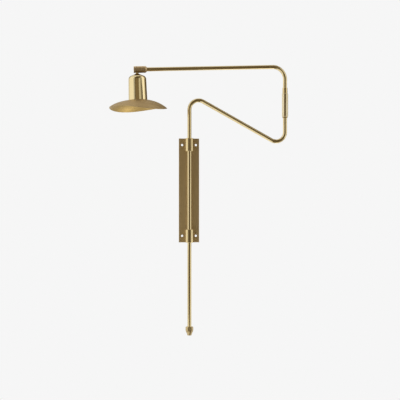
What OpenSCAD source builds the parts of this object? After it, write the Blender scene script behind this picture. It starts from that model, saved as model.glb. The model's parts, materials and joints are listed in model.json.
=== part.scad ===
// Swing arm wall lamp in brass. The origin is the middle of the wall plate's back face:
// +X to the right, +Y into the wall, +Z up. The lamp is drawn with its upper arm folded back.

/* [Wall plate] */
// Width of the wall plate
plate_w = 53; // [45:1:80]
// Height of the wall plate
plate_h = 271; // [255:1:320]
// Thickness of the wall plate
plate_t = 3; // [2.5:0.5:6]
// Small chamfer round the plate's front edge
plate_edge = 0.5; // [0.2:0.1:1]
// Sideways spacing of the four wall screw holes
hole_pitch_x = 36; // [28:1:38]
// Upright spacing of the four wall screw holes
hole_pitch_z = 237; // [200:1:245]
// Diameter of a wall screw hole
screw_hole_d = 6; // [4:0.5:6.5]

/* [Collars] */
// Outside diameter of a collar
collar_d = 20.5; // [20:0.5:26]
// Length of a collar, whose outer end is level with the plate's end
collar_l = 34; // [24:1:50]
// Chamfer on the outer edges of a collar
collar_edge = 0.6; // [0.2:0.1:0.9]
// Length of the boss that holds a collar off the plate
collar_stand = 3; // [1:0.5:8]
// Diameter of the boss behind a collar
boss_d = 12; // [8:0.5:16]
// Thread diameter of the screw that holds a collar from behind the plate
collar_screw_d = 4; // [3:0.5:5]
// Length of that screw, with its countersunk head
collar_screw_l = 6.5; // [5:0.25:7]
// Wall of the nylon bush inside a collar
bush_wall = 2; // [1:0.25:2.5]
// How far the bush's flange stands out past its barrel
bush_flange_w = 1; // [0.5:0.1:1.2]
// Thickness of the bush's flange
bush_flange_t = 1.2; // [0.8:0.1:3]

/* [Mast and lower arm] */
// Outside diameter of the two arm tubes
tube_d = 10.5; // [10:0.5:12.5]
// Wall of the two arm tubes
tube_wall = 1; // [0.75:0.05:1.5]
// Straight mast above the plate's middle, up to its first bend
mast_above = 210; // [180:5:300]
// Straight mast below the plate's middle, down to the gland
mast_below = 354; // [200:1:500]
// Reach from the mast to the elbow
arm_reach = 251; // [200:1:350]
// Slope of the lower arm below the horizontal
arm_slope = 29; // [15:0.5:34]
// Centreline radius of the mast tube's two bends
mast_bend_r = 24; // [18:1:32]
// Straight tube between the second bend and the elbow
elbow_rise = 37.5; // [25:0.5:80]

/* [Elbow] */
// Outside diameter of the elbow sleeve
sleeve_d = 16; // [15.5:0.5:22]
// Length of the elbow sleeve
sleeve_l = 61.5; // [56:0.5:90]
// Chamfer on the ends of the elbow sleeve
sleeve_edge = 1.2; // [0.4:0.1:1.4]
// Wall of the elbow sleeve round its bush
sleeve_wall = 1.5; // [1:0.1:1.9]
// Length of the bush in the foot of the sleeve
elbow_bush_l = 26; // [15:1:30]
// Depth to which the upper arm sits in the sleeve
sleeve_socket = 16; // [8:1:20]
// Depth to which the hollow stem sits in the lower arm
stem_socket = 16; // [8:1:24]
// Bore of the hollow stem
stem_bore_d = 5; // [3:0.5:6]
// Thread diameter at the top of the stem
stem_thread_d = 7.5; // [6.5:0.5:7.5]
// Length of the thread at the top of the stem
stem_thread_l = 8; // [6:0.5:10]
// Distance across the flats of the stem nut
stem_nut_af = 10; // [9.8:0.1:10.2]
// Thickness of the stem nut
stem_nut_t = 4; // [2.5:0.5:5]
// Thickness of the washer under the stem nut
stem_washer_t = 1; // [0.5:0.25:2]
// Outside diameter of the washer between the lower arm and the sleeve
elbow_washer_d = 13.2; // [12.8:0.2:15]
// Thickness of the washer between the lower arm and the sleeve
elbow_washer_t = 2.9; // [1:0.1:5]
// Outside diameter of the ferrule above the sleeve
ferrule_d = 13.2; // [13:0.2:15.4]
// Length of the ferrule above the sleeve
ferrule_l = 14.3; // [5:0.1:20]

/* [Upper arm] */
// Straight tube between the ferrule and the upper bend
upper_rise = 22.5; // [5:0.5:60]
// Centreline radius of the upper bend
upper_bend_r = 32; // [20:1:60]
// Reach along the arm from its corner to the middle of the lamp head
head_reach = 387; // [300:0.5:500]
// Droop of the upper arm below the horizontal
arm_droop = 1.75; // [0:0.25:3]

/* [Knuckle] */
// Outside diameter of the knuckle
knuckle_d = 17.3; // [15.5:0.1:20]
// Length of the knuckle on the arm's side of the neck
knuckle_front = 25.2; // [20:0.2:40]
// Length of the knuckle on the far side of the neck
knuckle_back = 4.2; // [4.2:0.1:10]
// Length of the cone on the arm's end of the knuckle
knuckle_cone = 3.5; // [1:0.5:6]
// Depth to which the arm's tube sits in the knuckle
knuckle_socket = 15; // [8:0.5:15]
// Bore of the hollow spindle that the knuckle turns on
spindle_bore_d = 5.5; // [4:0.5:6.5]
// Length of the spindle inside the arm's tube
spindle_socket = 14; // [8:1:30]
// Thickness of the spring washer behind the cap
spring_washer_t = 0.5; // [0.3:0.1:1.5]
// Length of the cap on the end of the knuckle
cap_l = 3.9; // [3:0.1:8]
// Chamfer on the cap's outer edge
cap_edge = 0.5; // [0.2:0.1:1.2]

/* [Neck and cup] */
// Diameter of the neck that shows between the knuckle and the cup
neck_d = 7.6; // [7.4:0.2:9]
// Thread diameter above and below the neck
neck_thread_d = 7; // [6:0.1:7]
// Bore of the neck
neck_bore_d = 4.4; // [3:0.2:5]
// Drop from the arm's centreline to the top of the cup
cup_drop = 11; // [10.5:0.5:20]
// Height of the cup
cup_h = 68; // [65:0.5:90]
// Diameter of the cup at its shoulder
cup_shoulder_d = 46; // [40:0.2:48]
// Diameter of the cup at its foot
cup_foot_d = 48.5; // [44:0.5:56]
// Wall of the cup
cup_wall = 1; // [0.6:0.1:2]
// Radius of the cup's shoulder
cup_shoulder_r = 10; // [6:0.5:14]
// Height of the cup's crown above the middle of its shoulder's radius
cup_crown_h = 14.3; // [12:0.1:18]
// Radius of the flat on top of the cup
cup_flat_r = 4.6; // [4.4:0.2:6]
// Distance across the flats of the nut inside the cup
cup_nut_af = 10; // [8.5:0.5:16]
// Thickness of the nut inside the cup
cup_nut_t = 3.5; // [2:0.5:5]

/* [Lampholder] */
// Outside diameter of the lampholder
holder_d = 27.4; // [24:0.2:28]
// Height of the lampholder's body
holder_l = 56; // [52:0.5:58]
// Height of the lampholder's cap, which screws on the neck
holder_cap_h = 12; // [8:0.5:14]
// Wall of the lampholder's cap
holder_cap_wall = 2.5; // [1.5:0.25:4]
// Inside diameter of the threaded shell that takes the bulb
socket_d = 14; // [13.6:0.1:15]
// Wall of the threaded shell
shell_wall = 1.2; // [0.6:0.1:2]
// Length of the threaded shell
shell_l = 24; // [18:1:25]
// Distance from the shell to the lampholder's mouth
shell_recess = 2; // [0.5:0.5:5]
// Diameter of the centre contact
contact_d = 5; // [3:0.5:8]
// Height of the centre contact
contact_h = 1.9; // [1:0.1:1.9]
// Diameter of the flange that the shade hangs on
holder_flange_d = 32; // [30:0.5:40]
// Thickness of that flange
holder_flange_t = 2; // [1:0.25:4]
// Outside diameter of the ring that clamps the shade
shade_ring_d = 38; // [32:1:44]
// Thickness of the ring that clamps the shade
shade_ring_t = 5; // [3:0.5:8]
// Number of grip notches round that ring
ring_notches = 16; // [8:1:24]
// Depth of a grip notch
ring_notch_depth = 0.8; // [0.3:0.1:1.2]
// Diameter of the cutter that makes a grip notch
ring_notch_d = 3.5; // [2.5:0.5:5]

/* [Shade] */
// Diameter of the shade
shade_d = 150; // [120:1:220]
// Depth of the shade from its flat top to its mean rim
shade_depth = 22.2; // [12:0.2:40]
// Radius of the flat on top of the shade
shade_flat_r = 16; // [15.5:0.5:22]
// Thickness of the shade's sheet
shade_t = 1; // [0.6:0.1:2]
// How far the hand formed rim rises and dips, twice on its way round
shade_wave = 5; // [0:0.5:8]
// How far one side of the rim is lifted and the other pulled down
shade_lean = 2.5; // [0:0.5:5]
// Turn of the rim's wave and lean about the shade's axis
shade_turn = 20; // [0:5:45]

/* [Cord gland] */
// Distance across the flats of the gland's body
gland_af = 17.4; // [15.6:0.2:22]
// Height of the gland's body
gland_l = 11; // [10.5:0.5:20]
// Depth to which the mast sits in the gland's body
gland_socket = 9; // [5:0.5:9.5]
// Diameter of the cord's way through the gland's body
gland_way_d = 8; // [5:0.5:9]
// Height of the gland nut's cone
gland_cone_l = 7.2; // [6.8:0.2:14]
// Diameter of the gland nut at the top of its cone
gland_nut_d = 19.4; // [17:0.2:22]
// Diameter of the gland nut's nose
gland_nose_d = 11.6; // [10.5:0.2:13]
// Height of the gland nut's nose
gland_nose_l = 4.2; // [2:0.2:10]
// Diameter of the cord outlet
outlet_d = 7; // [5:0.5:8]
// Diameter of the rubber seal
seal_d = 10.3; // [9.5:0.1:10.6]
// Height of the rubber seal
seal_h = 2.9; // [1.5:0.1:3]

/* [Hidden] */
// Clearance of a running fit, on the radius
run_gap = 0.05;
// Overlap of a cutting tool past the face that it cuts
past = 1;
$fn = 96;

brass = "#b89b5e";
dark_brass = "#7d6a42";
shade_brass = "#a3905f";
steel = "#9a9a9c";
nylon = "#2a2622";
rubber = "#1c1c1c";
phenolic = "#26211e";

// A bend laps over the straight tube at each end by this length
bend_lap = 0.5;
// The wall of a bend is fuller than that of the straight tube by this much on each face
bend_swell = 0.05;

tube_r = tube_d / 2;
tube_bore_r = tube_r - tube_wall;
socket_r = tube_r + run_gap;

// Collars and bushes
mast_off = plate_t + collar_stand + collar_d / 2;
collar_mid = plate_h / 2 - collar_l / 2;
bush_r = socket_r + bush_wall;
bush_flange_r = bush_r + bush_flange_w;
screw_r = collar_screw_d / 2;
screw_head_r = collar_screw_d;
screw_head_l = screw_head_r - screw_r;

// Mast tube: its bends turn through the same angle, so each takes the same length off its corner
mast_turn = 90 + arm_slope;
mast_tangent = mast_bend_r * tan(mast_turn / 2);
lower_run = arm_reach / cos(arm_slope) - 2 * mast_tangent;
elbow_z = mast_above + 2 * mast_tangent - arm_reach * tan(arm_slope) + elbow_rise;

// Elbow, from the end of the lower arm upwards
stem_r = tube_bore_r - run_gap;
sleeve_z = elbow_z + elbow_washer_t;
sleeve_top = sleeve_z + sleeve_l;
sleeve_bore_r = sleeve_d / 2 - sleeve_wall;
elbow_bush_top = sleeve_z + elbow_bush_l;

// Upper arm
upper_tangent = upper_bend_r * tan((90 + arm_droop) / 2);
upper_straight = ferrule_l + upper_rise;
corner_z = sleeve_top + upper_straight + upper_tangent;
upper_run = head_reach - upper_tangent - knuckle_front + knuckle_socket;

// Knuckle, measured along the arm from the middle of the neck
knuckle_r = knuckle_d / 2;
tube_end = knuckle_front - knuckle_socket;
spindle_r = tube_bore_r - run_gap;
cap_x = -knuckle_back - spring_washer_t;
spindle_tail = 2.5;
// The spindle's window reaches this far above its axis
window_rise = 1.2;

// Neck and cup, measured down from the arm's centreline
neck_r = neck_d / 2;
neck_thread_r = neck_thread_d / 2;
neck_seat = knuckle_r - 1.15;
neck_top = spindle_r + 0.3;
neck_tail = 17.5;
cup_top = -cup_drop;
cup_bottom = cup_top - cup_h;
cup_foot_r = cup_foot_d / 2;
shoulder_x = cup_shoulder_d / 2 - cup_shoulder_r;
shoulder_z = cup_top - cup_crown_h;
cup_shoulder_steps = 12;
// Radius of the crown's flat, and the crown's slope, on a face drawn in by an inset
function crown_flat(inset) = cup_flat_r - inset / 2;
function crown_slope(inset) =
    let (run = shoulder_x - crown_flat(inset), rise = cup_crown_h - inset)
    acos((cup_shoulder_r - inset) / norm([run, rise])) - atan2(run, rise);
// The nut's corners bear on the inside of the crown
cup_nut_corner_r = cup_nut_af / 2 / cos(30);
cup_nut_top = cup_top - cup_wall - run_gap
    - max(0, cup_nut_corner_r - crown_flat(cup_wall)) * tan(crown_slope(cup_wall));

// Shade: a flat top, then one arc down to the rim
shade_r = shade_d / 2;
shade_hole_r = holder_d / 2 + 0.5;
shade_span = shade_r - shade_flat_r;
shade_arc_r = (shade_span * shade_span + shade_depth * shade_depth) / (2 * shade_depth);
function shade_slope(r) = r <= shade_flat_r ? 0 : asin((r - shade_flat_r) / shade_arc_r);
function shade_drop(r) = shade_arc_r * (1 - cos(shade_slope(r)));
shade_top = cup_bottom + shade_drop(cup_foot_r - cup_wall) - run_gap;
shade_under = shade_top - shade_t;
shade_rings = 14;
shade_sides = 96;

// Lampholder: its flange rests on the shade's flat top
holder_flange_z = shade_top + run_gap;
holder_bottom = shade_under - 12.2;
holder_top = holder_bottom + holder_l;
shell_r = socket_d / 2 + shell_wall;
shell_z = holder_bottom + shell_recess;
holder_bore_top = shell_z + shell_l + contact_h + 0.3;
neck_bottom = cup_top - neck_tail;

// Gland, measured down from its top face
spigot_r = gland_way_d / 2 + 2.1;
spigot_l = 3.5;
seal_top = -gland_l - spigot_l - run_gap;

// Places

module at_mast(z = 0) {
    translate([0, -mast_off, z]) children();
}

module at_elbow(z = 0) {
    translate([arm_reach, -mast_off, z]) children();
}

// The lamp head's own frame: +X along the arm towards the elbow, the neck's axis at x = 0
module at_head() {
    at_elbow(corner_z) rotate([0, -arm_droop, 0]) translate([-head_reach, 0, 0]) children();
}

// A turned piece laid along the arm, starting at x
module along_arm(x) {
    translate([x, 0, 0]) rotate([0, 90, 0]) children();
}

// Shapes

// A turned ring standing on z = 0, with a chamfer on its outer edges
module ring(r, bore_r, h, edge = 0) {
    rotate_extrude() polygon([
        [bore_r, 0], [r - edge, 0], [r, edge],
        [r, h - edge], [r - edge, h], [bore_r, h]
    ]);
}

module hex_nut(across_flats, bore_r, h) {
    difference() {
        cylinder(h = h, r = across_flats / 2 / cos(30), $fn = 6);
        translate([0, 0, -past]) cylinder(h = h + 2 * past, r = bore_r);
    }
}

// The tube's section, its wall thicker on both faces by swell
module tube_section(swell = 0) {
    difference() {
        circle(tube_r + swell);
        circle(tube_bore_r - swell);
    }
}

// A straight stretch of tube from the origin up +Z
module tube_straight(l) {
    linear_extrude(l) tube_section();
}

// A bend that starts up +Z at the origin and turns towards +X
module tube_bend(r, turn) {
    lap = bend_lap / r * 180 / PI;
    translate([r, 0, 0]) rotate([90, 0, 180]) rotate([0, 0, -lap])
        rotate_extrude(angle = turn + 2 * lap) translate([r, 0]) tube_section(bend_swell);
}

// Moves what follows to the end of that bend
module after_bend(r, turn) {
    translate([r * (1 - cos(turn)), 0, r * sin(turn)]) rotate([0, turn, 0]) children();
}

// Wall plate and collars

module wall_plate() {
    half_w = plate_w / 2;
    half_h = plate_h / 2;
    color(dark_brass) difference() {
        intersection() {
            translate([0, 0, -half_h]) linear_extrude(plate_h) polygon([
                [-half_w, 0], [half_w, 0], [half_w, plate_edge - plate_t],
                [half_w - plate_edge, -plate_t], [plate_edge - half_w, -plate_t],
                [-half_w, plate_edge - plate_t]
            ]);
            rotate([90, 0, 90]) translate([0, 0, -half_w]) linear_extrude(plate_w) polygon([
                [0, -half_h], [0, half_h], [plate_edge - plate_t, half_h],
                [-plate_t, half_h - plate_edge], [-plate_t, plate_edge - half_h],
                [plate_edge - plate_t, -half_h]
            ]);
        }
        for (x = [-1, 1], z = [-1, 1])
            translate([x * hole_pitch_x / 2, past, z * hole_pitch_z / 2])
                rotate([90, 0, 0]) cylinder(h = plate_t + 2 * past, d = screw_hole_d);
        for (z = [-1, 1]) translate([0, 0, z * collar_mid]) collar_screw_way();
    }
}

// The countersunk way for a collar screw, cut from behind the plate
module collar_screw_way() {
    rotate([90, 0, 0]) {
        translate([0, 0, -past]) cylinder(h = plate_t + 2 * past, r = screw_r + run_gap);
        rotate_extrude() polygon([
            [0, -past], [screw_head_r + run_gap + past, -past],
            [screw_r + run_gap, screw_head_l], [0, screw_head_l]
        ]);
    }
}

// A collar, its middle at the origin, with the boss that stands on the plate
module collar(flange_side) {
    difference() {
        union() {
            translate([0, 0, -collar_l / 2]) ring(collar_d / 2, bush_r - past, collar_l, collar_edge);
            rotate([-90, 0, 0]) cylinder(h = mast_off - plate_t, d = boss_d);
        }
        cylinder(h = collar_l + 2 * past, r = bush_r + run_gap, center = true);
        translate([0, 0, flange_side * collar_l / 2])
            cylinder(h = 2 * (bush_flange_t + run_gap), r = bush_flange_r + run_gap, center = true);
        translate([0, mast_off + past, 0]) rotate([90, 0, 0])
            cylinder(h = collar_screw_l + past + run_gap, r = screw_r + run_gap);
    }
}

module upper_collar() {
    color(brass) at_mast(collar_mid) collar(1);
}

module lower_collar() {
    color(brass) at_mast(-collar_mid) collar(-1);
}

module collar_screws() {
    color(steel) for (z = [-1, 1]) translate([0, 0, z * collar_mid]) rotate([90, 0, 0])
        rotate_extrude() polygon([
            [0, 0], [screw_head_r, 0], [screw_r, screw_head_l],
            [screw_r, collar_screw_l], [0, collar_screw_l]
        ]);
}

// A flanged bush, its flange level with the collar's end at z = 0 and its barrel below
module bush() {
    rotate_extrude() polygon([
        [socket_r, 0], [bush_flange_r, 0], [bush_flange_r, -bush_flange_t],
        [bush_r, -bush_flange_t], [bush_r, -collar_l + bush_flange_t],
        [socket_r, -collar_l + bush_flange_t]
    ]);
}

module upper_bush() {
    color(nylon) at_mast(plate_h / 2) bush();
}

module lower_bush() {
    color(nylon) at_mast(-plate_h / 2) mirror([0, 0, 1]) bush();
}

// Mast and lower arm, one bent tube

module mast_arm() {
    foot = mast_below + gland_socket;
    color(brass) at_mast(-foot) {
        tube_straight(foot + mast_above);
        translate([0, 0, foot + mast_above]) {
            tube_bend(mast_bend_r, mast_turn);
            after_bend(mast_bend_r, mast_turn) {
                tube_straight(lower_run);
                translate([0, 0, lower_run]) rotate([0, 0, 180]) {
                    tube_bend(mast_bend_r, mast_turn);
                    after_bend(mast_bend_r, mast_turn) tube_straight(elbow_rise);
                }
            }
        }
    }
}

// Cord gland on the foot of the mast

module gland_body() {
    corner_r = gland_af / 2 / cos(30);
    color(brass) at_mast(-mast_below) difference() {
        union() {
            intersection() {
                translate([0, 0, -gland_l])
                    cylinder(h = gland_l, r = corner_r, $fn = 6);
                translate([0, 0, -gland_l]) ring(corner_r, 0, gland_l, corner_r - gland_af / 2);
            }
            translate([0, 0, -gland_l - spigot_l]) cylinder(h = spigot_l + past, r = spigot_r);
        }
        translate([0, 0, -gland_socket]) cylinder(h = gland_socket + past, r = socket_r);
        translate([0, 0, -gland_l - spigot_l - past])
            cylinder(h = gland_l + spigot_l, d = gland_way_d);
    }
}

module gland_seal() {
    color(rubber) at_mast(-mast_below + seal_top - seal_h)
        ring(seal_d / 2, outlet_d / 2 - 0.3, seal_h);
}

module gland_nut() {
    nut_r = gland_nut_d / 2;
    nose_r = gland_nose_d / 2;
    cone_z = -gland_l - gland_cone_l;
    pocket_z = seal_top - seal_h - run_gap;
    color(brass) at_mast(-mast_below) rotate_extrude() polygon([
        [outlet_d / 2, cone_z - gland_nose_l], [nose_r - 0.6, cone_z - gland_nose_l],
        [nose_r, cone_z - gland_nose_l + 0.6], [nose_r, cone_z], [nose_r + 0.6, cone_z],
        [nut_r, -gland_l], [spigot_r + run_gap, -gland_l],
        [spigot_r + run_gap, seal_top], [seal_d / 2 + run_gap, seal_top],
        [seal_d / 2 + run_gap, pocket_z], [outlet_d / 2, pocket_z]
    ]);
}

// Elbow: a hollow stem on the lower arm, on which the sleeve of the upper arm turns

module elbow_stem() {
    foot = elbow_z - stem_socket;
    color(steel) at_elbow() difference() {
        union() {
            translate([0, 0, foot]) cylinder(h = elbow_bush_top - foot, r = stem_r);
            translate([0, 0, elbow_bush_top - past])
                cylinder(h = stem_thread_l + past, d = stem_thread_d);
        }
        translate([0, 0, foot - past])
            cylinder(h = elbow_bush_top + stem_thread_l - foot + 2 * past, d = stem_bore_d);
    }
}

module elbow_washer() {
    color(dark_brass) at_elbow(elbow_z)
        ring(elbow_washer_d / 2, stem_r + run_gap, elbow_washer_t, 0.3);
}

module stem_washer() {
    color(steel) at_elbow(elbow_bush_top)
        ring(socket_r - 0.15, stem_thread_d / 2 + run_gap, stem_washer_t);
}

module stem_nut() {
    color(steel) at_elbow(elbow_bush_top + stem_washer_t)
        hex_nut(stem_nut_af, stem_thread_d / 2 + run_gap, stem_nut_t);
}

module elbow_sleeve() {
    color(brass) at_elbow(sleeve_z) difference() {
        ring(sleeve_d / 2, 0, sleeve_l, sleeve_edge);
        translate([0, 0, -past])
            cylinder(h = sleeve_l - sleeve_socket + past, r = sleeve_bore_r);
        cylinder(h = sleeve_l + past, r = socket_r);
    }
}

module elbow_bush() {
    color(nylon) at_elbow(sleeve_z)
        ring(sleeve_bore_r - run_gap, stem_r + run_gap, elbow_bush_l);
}

module elbow_ferrule() {
    color(dark_brass) at_elbow(sleeve_top) ring(ferrule_d / 2, socket_r, ferrule_l, 0.3);
}

// Upper arm, one bent tube, and the spindle in its end

module upper_arm() {
    rise = sleeve_socket + upper_straight;
    color(brass) at_elbow(sleeve_top - sleeve_socket) {
        tube_straight(rise);
        translate([0, 0, rise]) rotate([0, 0, 180]) {
            tube_bend(upper_bend_r, 90 + arm_droop);
            after_bend(upper_bend_r, 90 + arm_droop) tube_straight(upper_run);
        }
    }
}

// The spindle's window lets the lead down into the neck at every tilt of the head
module arm_spindle() {
    tail = cap_x - spindle_tail;
    window_r = neck_bore_d / 2 + 1;
    color(steel) at_head() difference() {
        along_arm(tail) cylinder(h = tube_end + spindle_socket - tail, r = spindle_r);
        along_arm(-window_r)
            cylinder(h = tube_end + spindle_socket + window_r + past, d = spindle_bore_d);
        translate([-window_r, -spindle_r - past, -spindle_r - past])
            cube([2 * window_r, 2 * (spindle_r + past), spindle_r + past + window_rise]);
    }
}

module spring_washer() {
    color(steel) at_head() along_arm(cap_x)
        ring(knuckle_r - 1, spindle_r + run_gap, spring_washer_t);
}

module knuckle_cap() {
    color(dark_brass) at_head() along_arm(cap_x - cap_l) difference() {
        ring(knuckle_r, 0, cap_l, cap_edge);
        translate([0, 0, cap_l - spindle_tail - run_gap])
            cylinder(h = spindle_tail + run_gap + past, r = spindle_r + run_gap);
    }
}

// Lamp head, which tilts about the arm

module knuckle() {
    l = knuckle_back + knuckle_front;
    color(brass) at_head() difference() {
        along_arm(-knuckle_back) rotate_extrude() polygon([
            [spindle_r + run_gap, 0], [knuckle_r, 0], [knuckle_r, l - knuckle_cone],
            [tube_r + 0.6, l], [socket_r, l], [socket_r, knuckle_back + tube_end - 0.3],
            [spindle_r + run_gap, knuckle_back + tube_end - 0.3]
        ]);
        translate([0, 0, -knuckle_r - past])
            cylinder(h = knuckle_r + past, r = neck_thread_r + run_gap);
        translate([0, 0, -knuckle_r - past])
            cylinder(h = knuckle_r - neck_seat + past, r = neck_r + run_gap);
    }
}

module neck() {
    color(dark_brass) at_head() rotate_extrude() polygon([
        [neck_bore_d / 2, -neck_top], [neck_thread_r, -neck_top],
        [neck_thread_r, -neck_seat], [neck_r, -neck_seat], [neck_r, cup_top],
        [neck_thread_r, cup_top], [neck_thread_r, neck_bottom], [neck_bore_d / 2, neck_bottom]
    ]);
}

// Half the cup's outline, drawn in by an inset, with its foot lengthened by an extra
module cup_outline(inset, extra) {
    round_r = cup_shoulder_r - inset;
    tilt = crown_slope(inset);
    foot_x = cup_foot_r - inset;
    shoulder = [
        for (i = [0 : cup_shoulder_steps])
            let (a = tilt + i * (90 - tilt) / cup_shoulder_steps)
            [shoulder_x + round_r * sin(a), shoulder_z + round_r * cos(a)]
    ];
    polygon(concat(
        [[0, cup_top - inset], [crown_flat(inset), cup_top - inset]],
        shoulder,
        [[foot_x, cup_bottom], [foot_x, cup_bottom - extra], [0, cup_bottom - extra]]
    ));
}

module cup() {
    color(brass) at_head() difference() {
        rotate_extrude() difference() {
            cup_outline(0, 0);
            cup_outline(cup_wall, past);
        }
        translate([0, 0, cup_top - past - cup_wall])
            cylinder(h = cup_wall + 2 * past, r = neck_thread_r + run_gap);
    }
}

module cup_nut() {
    color(steel) at_head() translate([0, 0, cup_nut_top - cup_nut_t])
        hex_nut(cup_nut_af, neck_thread_r + run_gap, cup_nut_t);
}

module holder_cap() {
    top = holder_top + holder_cap_h;
    boss_r = neck_thread_r + holder_cap_wall;
    color(phenolic) at_head() rotate_extrude() polygon([
        [neck_thread_r + run_gap, top], [boss_r, top],
        [holder_d / 2, holder_top + holder_cap_h / 3], [holder_d / 2, holder_top],
        [holder_d / 2 - holder_cap_wall, holder_top],
        [holder_d / 2 - holder_cap_wall, holder_top + holder_cap_h / 3 - 1],
        [neck_thread_r + run_gap, top - holder_cap_wall - 2.5]
    ]);
}

module lampholder() {
    color(phenolic) at_head() difference() {
        union() {
            translate([0, 0, holder_bottom]) ring(holder_d / 2, 0, holder_l, 0.4);
            translate([0, 0, holder_flange_z]) cylinder(h = holder_flange_t, d = holder_flange_d);
        }
        translate([0, 0, holder_bottom - past])
            cylinder(h = holder_bore_top - holder_bottom + past, r = shell_r + run_gap);
    }
}

module screw_shell() {
    color(brass) at_head() translate([0, 0, shell_z]) ring(shell_r, socket_d / 2, shell_l);
}

module centre_contact() {
    color(brass) at_head() translate([0, 0, holder_bore_top - contact_h])
        ring(contact_d / 2, 0, contact_h, 0.3);
}

module shade_ring() {
    notch_x = (shade_ring_d + ring_notch_d) / 2 - ring_notch_depth;
    color(brass) at_head() translate([0, 0, shade_under - run_gap - shade_ring_t]) difference() {
        ring(shade_ring_d / 2, holder_d / 2 + run_gap, shade_ring_t, 0.5);
        for (i = [0 : ring_notches - 1]) rotate([0, 0, i * 360 / ring_notches])
            translate([notch_x, 0, -past]) cylinder(h = shade_ring_t + 2 * past, d = ring_notch_d);
    }
}

// The saddle shaped wave and the lean of the rim, which die out at the cup's foot
function shade_ripple(r, a) =
    pow(max(0, r - cup_foot_r) / (shade_r - cup_foot_r), 2)
    * (shade_wave * sin(2 * a + shade_turn) - shade_lean * cos(a + shade_turn));

// A point of the shade: depth 0 on its upper face, depth shade_t square below it
function shade_point(r, a, depth) =
    let (s = shade_slope(r), x = r - depth * sin(s))
    [x * cos(a), x * sin(a), shade_top - shade_drop(r) - depth * cos(s) + shade_ripple(r, a)];

module shade() {
    rows = shade_rings + 1;
    step_r = (shade_r - shade_hole_r) / shade_rings;
    points = [
        for (depth = [0, shade_t], i = [0 : shade_rings], j = [0 : shade_sides - 1])
            shade_point(shade_hole_r + i * step_r, j * 360 / shade_sides, depth)
    ];
    function at(face, i, j) = (face * rows + i) * shade_sides + j % shade_sides;
    upper = [
        for (i = [0 : shade_rings - 1], j = [0 : shade_sides - 1]) each [
            [at(0, i, j), at(0, i, j + 1), at(0, i + 1, j + 1)],
            [at(0, i, j), at(0, i + 1, j + 1), at(0, i + 1, j)]
        ]
    ];
    lower = [
        for (i = [0 : shade_rings - 1], j = [0 : shade_sides - 1]) each [
            [at(1, i, j), at(1, i + 1, j + 1), at(1, i, j + 1)],
            [at(1, i, j), at(1, i + 1, j), at(1, i + 1, j + 1)]
        ]
    ];
    hole_edge = [
        for (j = [0 : shade_sides - 1]) each [
            [at(0, 0, j), at(1, 0, j + 1), at(0, 0, j + 1)],
            [at(0, 0, j), at(1, 0, j), at(1, 0, j + 1)]
        ]
    ];
    rim = [
        for (j = [0 : shade_sides - 1]) each [
            [at(0, shade_rings, j), at(0, shade_rings, j + 1), at(1, shade_rings, j + 1)],
            [at(0, shade_rings, j), at(1, shade_rings, j + 1), at(1, shade_rings, j)]
        ]
    ];
    color(shade_brass) at_head() polyhedron(points, concat(upper, lower, hole_edge, rim));
}

wall_plate();
upper_collar();
lower_collar();
collar_screws();
upper_bush();
lower_bush();
mast_arm();
gland_body();
gland_seal();
gland_nut();
elbow_stem();
elbow_washer();
stem_washer();
stem_nut();
elbow_sleeve();
elbow_bush();
elbow_ferrule();
upper_arm();
arm_spindle();
spring_washer();
knuckle_cap();
knuckle();
neck();
cup();
cup_nut();
holder_cap();
lampholder();
screw_shell();
centre_contact();
shade_ring();
shade();
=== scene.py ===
import json
import math

import bpy
from mathutils import Matrix, Vector


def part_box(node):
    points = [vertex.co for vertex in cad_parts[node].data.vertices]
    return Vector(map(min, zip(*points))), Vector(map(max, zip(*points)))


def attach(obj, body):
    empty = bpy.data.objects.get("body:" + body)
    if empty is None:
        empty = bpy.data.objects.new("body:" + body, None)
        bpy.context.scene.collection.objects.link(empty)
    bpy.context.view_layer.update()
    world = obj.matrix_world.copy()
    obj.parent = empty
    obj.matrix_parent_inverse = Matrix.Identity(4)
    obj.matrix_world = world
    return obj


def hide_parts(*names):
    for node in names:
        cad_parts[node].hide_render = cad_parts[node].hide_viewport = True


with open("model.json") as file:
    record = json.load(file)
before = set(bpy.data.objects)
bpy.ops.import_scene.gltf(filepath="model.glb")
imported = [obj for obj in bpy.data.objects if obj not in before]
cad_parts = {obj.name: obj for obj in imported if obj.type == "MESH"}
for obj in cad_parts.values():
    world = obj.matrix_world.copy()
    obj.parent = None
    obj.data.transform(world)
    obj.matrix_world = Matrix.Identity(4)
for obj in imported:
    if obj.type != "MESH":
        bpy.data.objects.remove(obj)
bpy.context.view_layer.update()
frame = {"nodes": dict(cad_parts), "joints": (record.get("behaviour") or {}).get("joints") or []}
MM = 0.001

# Camera: the lamp is seen from its own height, a little from the left
VIEW_AZIMUTH = math.radians(-5)
VIEW_DISTANCE = 2.6
VIEW_HEIGHT = -25 * MM
AIM_X = 27.6 * MM
LENS = 90
SENSOR = 36
CLIP_END = 50

# Tubes, both of one section
TUBE_R = 5.25 * MM
TUBE_WALL = 1 * MM
TUBE_SIDES = 48
BEND_RINGS = 40

# Mast and lower arm
MAST_FOOT_Z = -363 * MM
MAST_BEND_Z = 210 * MM
MAST_BEND_R = 24 * MM
ARM_SLOPE = math.radians(29)
ELBOW_RISE = 37.5 * MM

# Upper arm: its foot in the sleeve, its rise above the sleeve and its tail in the knuckle, which
# reaches from the neck to KNUCKLE_FRONT
UPPER_FOOT_DEPTH = 16 * MM
UPPER_RISE = 36.8 * MM
UPPER_BEND_R = 32 * MM
ARM_TAIL = 15 * MM
KNUCKLE_FRONT = 25.2 * MM

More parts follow.
